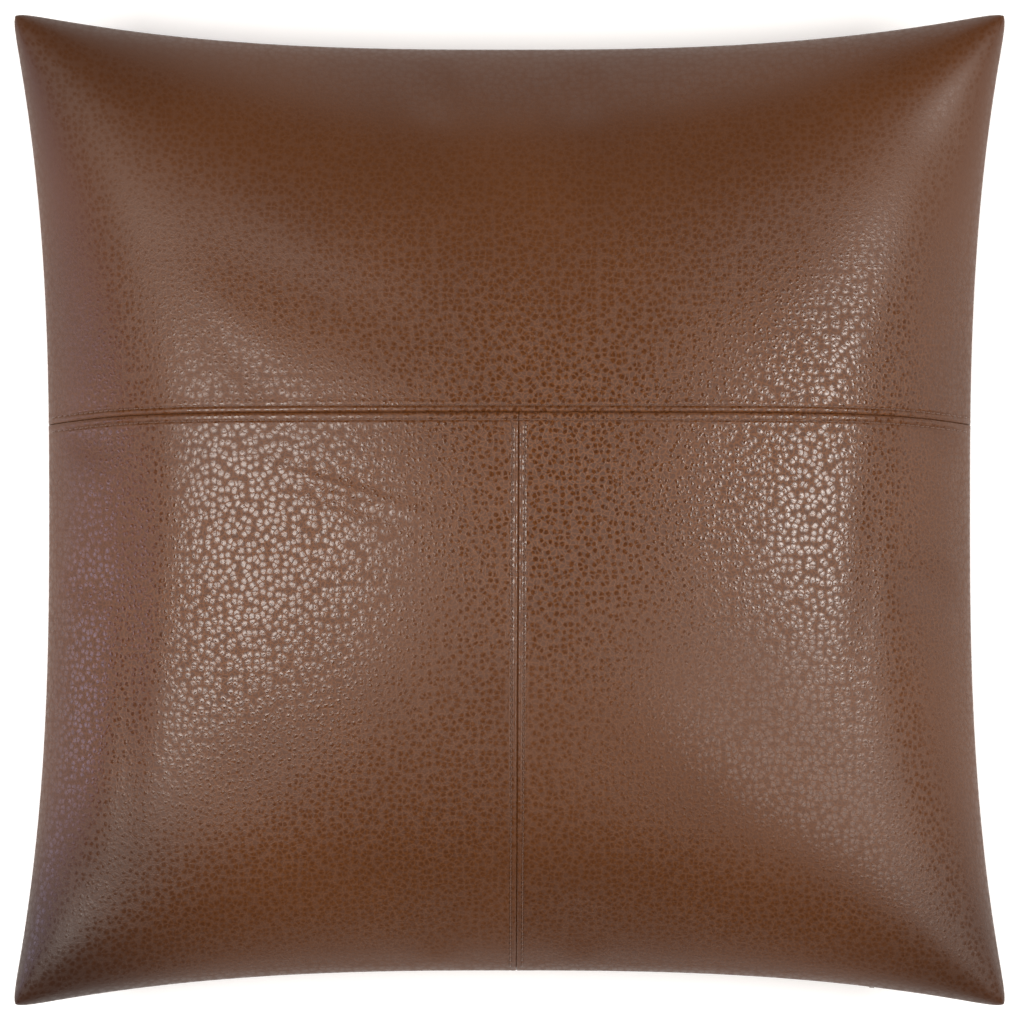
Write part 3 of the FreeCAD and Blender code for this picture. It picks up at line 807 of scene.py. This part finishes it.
def insert(cloth, thread, fibre):
    """The stuffed insert: its shell, its edge seam and its filling."""
    for face, side in FACES:
        outer, inner = insert_face(side, 0.0), insert_face(side, CLOTH)
        piece = closed_sheet(f"insert_cloth_{face}", outer, inner, cloth,
                             [f"insert_shell_{face}"], side == BACK)
    sides = zip(CORNERS, CORNERS[1:] + CORNERS[:1])
    edge_stitches("insert_stitches", sides, INSERT_INSET + INSERT_EDGE_INSET, INSERT_THREAD_RADIUS,
                  thread, "insert_seam_thread")
    upper, lower = insert_face(FRONT, 2 * CLOTH), insert_face(BACK, 2 * CLOTH)
    filling = closed_sheet("feather_fibre", upper, lower, fibre, ["insert_fill"])


def blank_label(material):
    """A label without any text, inside the left seam and under the front leather."""
    low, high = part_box("care_label")
    across, up = np.meshgrid(np.linspace(0, 1, LABEL_POINTS[1]), np.linspace(0, 1, LABEL_POINTS[0]))
    s = mix(*LABEL_SPAN, across)
    t = mix(low[1], high[1], up) / MM / half_width(1.0)
    ripple = LABEL_RIPPLE * np.sin(across * LABEL_WAVES) * across
    near, out = on_skin(FRONT, s, t, ripple - (LEATHER + LABEL_DEPTH))
    far = near - out * LABEL_THICKNESS
    return closed_sheet("blank_label", near, far, material, ["care_label"])


# ---------------------------------------------------------------- materials

# pebbled leather: cells for each metre, and how far and how finely noise shifts them
PEBBLES, PEBBLE_SHIFT, PEBBLE_SHIFT_SCALE, PEBBLE_RANDOMNESS = 222.0, 0.0030, 150.0, 0.85
WRINKLES, WRINKLE_SHIFT, WRINKLE_SHIFT_SCALE = 330.0, 0.0045, 240.0
GRAIN_DEPTH = 0.00024  # in metres
PLAIN_ROUGHNESS = 0.42  # where the pebbles hardly show
DEEP_BROWN, WARM_BROWN = (0.073, 0.0212, 0.0033), (0.086, 0.0260, 0.0046)
CLOUD_BROWN = (0.046, 0.0128, 0.0018)
CREASE_TAN, CREASE_SHARE = (0.175, 0.060, 0.013), 0.65
SPOT_BROWN = (0.036, 0.0100, 0.0022)
# painted shade: the brown that the colour is darkened towards in the corners and along the bottom
PAINTED_SHADE_BROWN = (0.018, 0.0050, 0.0016)


class Nodes:
    """A material's node tree, built a node at a time."""

    def __init__(self, name, roughness, **shader_values):
        self.material = bpy.data.materials.new(name)
        self.material.use_nodes = True
        self.tree = self.material.node_tree
        self.shader = self.tree.nodes["Principled BSDF"]
        self.shader.inputs["Roughness"].default_value = roughness
        for socket, value in shader_values.items():
            self.shader.inputs[socket.replace("_", " ")].default_value = value
        self.place = self.tree.nodes.new("ShaderNodeTexCoord").outputs["Object"]

    def link(self, value, socket):
        """Link a socket's value to another socket, or set a plain one."""
        if isinstance(value, bpy.types.NodeSocket):
            self.tree.links.new(value, socket)
        else:
            socket.default_value = value

    def add(self, kind, output, inputs=(), **settings):
        """Add a node and return one of its outputs."""
        node = self.tree.nodes.new(kind)
        for setting, value in settings.items():
            setattr(node, setting, value)
        for socket, value in dict(inputs).items():
            self.link(value, node.inputs[socket])
        return node.outputs[output]

    def noise(self, scale, detail=2.0, distortion=0.0, output="Fac"):
        inputs = {"Vector": self.place, "Scale": scale, "Detail": detail, "Distortion": distortion}
        return self.add("ShaderNodeTexNoise", output, inputs)

    def voronoi(self, scale, feature, place, randomness=1.0):
        inputs = {"Vector": place, "Scale": scale, "Randomness": randomness}
        return self.add("ShaderNodeTexVoronoi", "Distance", inputs, feature=feature,
                        voronoi_dimensions="2D")

    def remap(self, value, low, high, to_low=0.0, to_high=1.0):
        """Carry a value from one range to another, easing in and out."""
        inputs = {"Value": value, "From Min": low, "From Max": high, "To Min": to_low, "To Max": to_high}
        return self.add("ShaderNodeMapRange", "Result", inputs, interpolation_type="SMOOTHSTEP")

    def math(self, operation, a, b=0.0):
        return self.add("ShaderNodeMath", "Value", {0: a, 1: b}, operation=operation)

    def plus(self, a, b):
        return self.math("ADD", a, b)

    def times(self, a, b):
        return self.math("MULTIPLY", a, b)

    def blend(self, share, low, high):
        """A colour between two colours."""
        node = self.tree.nodes.new("ShaderNodeMix")
        node.data_type = "RGBA"
        self.link(share, node.inputs["Factor"])
        for socket, value in (("A", low), ("B", high)):
            inputs = [i for i in node.inputs if i.name == socket and i.type == "RGBA"]
            self.link((*value, 1.0) if isinstance(value, tuple) else value, inputs[0])
        return next(o for o in node.outputs if o.type == "RGBA")

    def shifted(self, amount, scale):
        """The place, moved about by noise so that cells lose their straight edges."""
        colour = self.noise(scale, 2.0, output="Color")
        moved = self.add("ShaderNodeVectorMath", "Vector", {0: colour, 1: (0.5, 0.5, 0.5)},
                         operation="SUBTRACT")
        scaled = self.add("ShaderNodeVectorMath", "Vector", {0: moved, "Scale": amount}, operation="SCALE")
        return self.add("ShaderNodeVectorMath", "Vector", {0: self.place, 1: scaled})

    def bump(self, height, distance, strength=1.0):
        inputs = {"Height": height, "Distance": distance, "Strength": strength}
        return self.add("ShaderNodeBump", "Normal", inputs)

    def finish(self, colour, roughness=None, normal=None):
        """Link what the shader shows, and return the material."""
        for value, socket in ((colour, "Base Color"), (roughness, "Roughness"), (normal, "Normal")):
            if value is not None:
                self.link(value, self.shader.inputs[socket])
        return self.material


def pebbles(nodes):
    """For the hide's pebbles: distance from the centre, from the border, and a random value of each."""
    place = nodes.shifted(PEBBLE_SHIFT, PEBBLE_SHIFT_SCALE)
    centre = nodes.voronoi(PEBBLES, "F1", place, PEBBLE_RANDOMNESS)
    border = nodes.voronoi(PEBBLES, "DISTANCE_TO_EDGE", place, PEBBLE_RANDOMNESS)
    cell = nodes.add("ShaderNodeSeparateColor", "Red", {"Color": centre.node.outputs["Color"]})
    return centre, border, cell


def leather_colour(nodes, centre, cell, line, mottle, coarse, strength):
    """Dark spots on the pebbles and pale creases, on a cloudy brown, darkened with painted shade towards
    the corners and the bottom.
    """
    patches = nodes.remap(nodes.noise(8.0, 3.0), 0.3, 0.7)
    net = nodes.blend(patches, DEEP_BROWN, WARM_BROWN)
    cloudy = nodes.times(nodes.remap(mottle, 0.34, 0.60, 0.75, 0.0), strength)
    mottled = nodes.blend(cloudy, net, CLOUD_BROWN)
    lined = nodes.blend(nodes.times(line, nodes.times(strength, CREASE_SHARE)), mottled, CREASE_TAN)
    ragged = nodes.plus(centre, nodes.times(nodes.noise(1000.0), 0.40))
    spot = nodes.remap(ragged, 0.08, 0.56, 1.0, 0.0)
    faded = nodes.times(strength, nodes.remap(coarse, 0.1, 1.0, 0.45, 1.0))
    uneven = nodes.times(faded, nodes.remap(cell, 0.0, 1.0, 0.35, 0.95))
    spotted = nodes.blend(nodes.times(spot, uneven), lined, SPOT_BROWN)
    # painted shade: the dark attribute darkens the colour towards the corners and the bottom
    dark = nodes.add("ShaderNodeAttribute", "Fac", attribute_name="dark")
    return nodes.blend(dark, spotted, PAINTED_SHADE_BROWN)


def leather_roughness(nodes, centre, border, cell, coarse):
    """Glossy pebble tops between duller flanks and grooves, more alike where the grain is fine."""
    glossy = nodes.remap(cell, 0.0, 1.0, 0.26, 0.14)
    flank = nodes.remap(centre, 0.10, 0.62, 0.12, 0.58)
    groove = nodes.remap(border, 0.0, 0.15, 0.62, 0.12)
    grained = nodes.math("MAXIMUM", nodes.math("MAXIMUM", flank, groove), glossy)
    contrast = nodes.remap(coarse, 0.1, 0.9, 0.35, 1.0)
    difference = nodes.times(nodes.math("SUBTRACT", grained, PLAIN_ROUGHNESS), contrast)
    return nodes.plus(difference, PLAIN_ROUGHNESS)


def leather():
    """Pebbled leather with a glossy topcoat, laid out on the flat hide."""
    nodes = Nodes("pebbled_leather", 0.4, IOR=1.5)
    nodes.place = nodes.add("ShaderNodeAttribute", "Vector", attribute_name="hide_place")
    coarse = nodes.add("ShaderNodeAttribute", "Fac", attribute_name="grain")
    centre, border, cell = pebbles(nodes)
    dome = nodes.remap(centre, 0.0, 0.56, 1.0, 0.0)
    folded = nodes.shifted(WRINKLE_SHIFT, WRINKLE_SHIFT_SCALE)
    wrinkle = nodes.voronoi(WRINKLES, "DISTANCE_TO_EDGE", folded)
    line = nodes.remap(wrinkle, 0.0, 0.22, 1.0, 0.0)
    mottle = nodes.noise(640.0, 3.0, distortion=1.5)
    rough = nodes.plus(nodes.times(line, -0.30), nodes.times(mottle, 1.5))
    height = nodes.plus(dome, nodes.times(rough, nodes.remap(dome, 0.0, 0.8, 1.0, 0.2)))
    strength = nodes.times(coarse, nodes.remap(nodes.noise(14.0), 0.3, 0.7, 0.75, 1.1))
    colour = leather_colour(nodes, centre, cell, line, mottle, coarse, strength)
    roughness = leather_roughness(nodes, centre, border, cell, coarse)
    return nodes.finish(colour, roughness, nodes.bump(height, GRAIN_DEPTH, strength))


def thread_material(name, dark, light):
    nodes = Nodes(name, 0.42, Sheen_Weight=0.2, Sheen_Roughness=0.4)
    fibres = nodes.noise(5200.0)
    colour = nodes.blend(nodes.remap(fibres, 0.3, 0.7), dark, light)
    return nodes.finish(colour, None, nodes.bump(fibres, 0.00005))


def woven(name, dark, light, pitch, roughness):
    """Plain weave: crossing threads of one pitch, in metres."""
    nodes = Nodes(name, roughness, Sheen_Weight=0.3, Sheen_Roughness=0.5)
    waves = []
    for axis in "XY":
        along = nodes.add("ShaderNodeSeparateXYZ", axis, {0: nodes.place})
        waves.append(nodes.math("SINE", nodes.times(along, 2 * math.pi / pitch)))
    weave = nodes.times(*waves)
    height = nodes.plus(weave, nodes.times(nodes.noise(1.2 / pitch), 0.8))
    colour = nodes.blend(nodes.remap(height, -0.6, 1.4), dark, light)
    return nodes.finish(colour, None, nodes.bump(height, 0.0001))


def nylon():
    nodes = Nodes("coil_nylon", 0.35)
    streaks = nodes.noise(900.0)
    colour = nodes.blend(streaks, (0.045, 0.022, 0.013), (0.075, 0.038, 0.023))
    return nodes.finish(colour, nodes.remap(streaks, 0.3, 0.7, 0.3, 0.45))


def lacquered_metal():
    nodes = Nodes("antique_metal", 0.35, Metallic=0.85)
    worn = nodes.remap(nodes.noise(420.0, 4.0), 0.45, 0.68)
    colour = nodes.blend(worn, (0.075, 0.048, 0.030), (0.24, 0.17, 0.11))
    pitted = nodes.noise(1500.0)
    rough = nodes.remap(pitted, 0.3, 0.7, 0.28, 0.48)
    return nodes.finish(colour, rough, nodes.bump(pitted, 0.00003))


def fibre_material():
    nodes = Nodes("feather_and_fibre", 0.9, Sheen_Weight=0.5, Sheen_Roughness=0.6)
    tufts = nodes.noise(240.0, 6.0, distortion=2.5)
    colour = nodes.blend(nodes.remap(tufts, 0.3, 0.7), (0.70, 0.69, 0.66), (0.88, 0.87, 0.85))
    return nodes.finish(colour, None, nodes.bump(tufts, 0.001))


def floor_material():
    """A pale floor with a faint glow of its own, so that it shows white."""
    nodes = Nodes("pale_floor", 0.85, Specular_IOR_Level=0.2, Emission_Color=(1, 1, 1, 1),
                  Emission_Strength=0.3)
    colour = nodes.blend(nodes.noise(3.0), (0.84, 0.84, 0.84), (0.86, 0.86, 0.86))
    return nodes.finish(colour)


# ---------------------------------------------------------------- studio, in metres

FLOOR_HALF = 12.0
CAMERA_AIM, CAMERA_DISTANCE = (0.0015, -0.0012), 2.62  # above the knife edge's height
VIEW_WIDTH = 0.6297  # seen at the knife edge's height
SENSOR_WIDTH = 36.0  # in millimetres


def area_light(name, centre, size, turn, radiance, colour=(1, 1, 1)):
    """A softbox of that radiance: size is (width, height) in metres, turn its rotation."""
    light = bpy.data.lights.new(name, "AREA")
    light.shape = "RECTANGLE"
    light.size, light.size_y = size
    light.energy = radiance * math.pi * size[0] * size[1]
    light.color = colour
    lamp = bpy.data.objects.new(name, light)
    lamp.location = centre
    lamp.rotation_euler = turn
    bpy.context.scene.collection.objects.link(lamp)


def lay_floor():
    """The floor that the pillow lies on."""
    mesh = bpy.data.meshes.new("floor")
    mesh.from_pydata([(x * FLOOR_HALF, y * FLOOR_HALF, 0) for x, y in CORNERS], [], [(3, 2, 1, 0)])
    mesh.materials.append(floor_material())
    floor = bpy.data.objects.new("floor", mesh)
    bpy.context.scene.collection.objects.link(floor)


def lights():
    """Two softboxes for the highlights, a fill, and a low strip on each side but the bottom."""
    quarter_turn = math.pi / 2
    warm, cool = (1.0, 0.95, 0.90), (0.80, 0.74, 1.0)
    area_light("softbox_left", (-1.25, -0.12, 1.85), (1.34, 0.94), (0, 0, 0), 12.0, warm)
    area_light("softbox_right", (1.66, 0.12, 1.85), (1.14, 0.84), (0, 0, 0), 17.5, warm)
    area_light("fill_low_right", (1.15, -0.95, 1.85), (1.3, 0.7), (0, 0, 0), 4.2, warm)
    area_light("strip_left", (-2.4, -0.18, 0.52), (0.85, 0.52), (0, -quarter_turn, 0), 4.2, cool)
    area_light("strip_top", (0.1, 2.4, 0.4), (0.7, 0.6), (-quarter_turn, 0, 0), 1.5)
    area_light("strip_right", (2.4, 0.2, 0.4), (0.6, 0.8), (0, quarter_turn, 0), 1.5)


def surroundings():
    """A dim, even, nearly white light from everywhere, and colours shown as they are."""
    world = bpy.data.worlds.new("studio")
    world.use_nodes = True
    background = world.node_tree.nodes["Background"]
    background.inputs["Color"].default_value = (1.0, 0.99, 0.98, 1)
    background.inputs["Strength"].default_value = 0.16
    bpy.context.scene.world = world
    bpy.context.scene.view_settings.view_transform = "Standard"


def camera():
    """Straight above, with the photograph's framing."""
    data = bpy.data.cameras.new("camera")
    data.sensor_width = SENSOR_WIDTH
    data.lens = SENSOR_WIDTH * CAMERA_DISTANCE / VIEW_WIDTH
    eye = bpy.data.objects.new("camera", data)
    eye.location = (*CAMERA_AIM, SEAM_HEIGHT * MM + CAMERA_DISTANCE)
    bpy.context.scene.collection.objects.link(eye)
    bpy.context.scene.camera = eye


# ---------------------------------------------------------------- everything

def build():
    """Every piece of the pillow, and the studio around it."""
    hide = leather()
    top_leather(hide)
    lower_leather("left_leather", -1, hide, ["front_left_panel"])
    lower_leather("right_leather", 1, hide, ["front_right_panel"])
    back_leather(hide)
    thread = thread_material("brown_thread", (0.075, 0.030, 0.015), (0.15, 0.068, 0.036))
    topstitching(thread)
    joining_seams(thread)
    perimeter_stitches(thread)
    tape = woven("zip_tape_weave", (0.045, 0.022, 0.013), (0.085, 0.042, 0.025), 0.0011, 0.8)
    coil = nylon()
    for face, side in FACES:
        zip_tape(f"zip_tape_{face}", side, tape, f"zipper_tape_{face}")
        zip_coil(f"zip_coil_{face}", side, coil, f"zipper_coil_{face}")
    metal = lacquered_metal()
    for node in ("zipper_slider", "zipper_pull", "zipper_top_stops", "zipper_bottom_stop"):
        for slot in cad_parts[node].material_slots:
            slot.material = metal
    cotton = woven("cotton_weave", (0.66, 0.65, 0.62), (0.84, 0.83, 0.80), 0.0016, 0.85)
    white_thread = thread_material("white_thread", (0.68, 0.67, 0.64), (0.85, 0.84, 0.82))
    insert(cotton, white_thread, fibre_material())
    blank_label(woven("label_satin", (0.62, 0.60, 0.56), (0.80, 0.78, 0.73), 0.0007, 0.5))
    lay_floor()
    lights()
    surroundings()
    camera()


build()
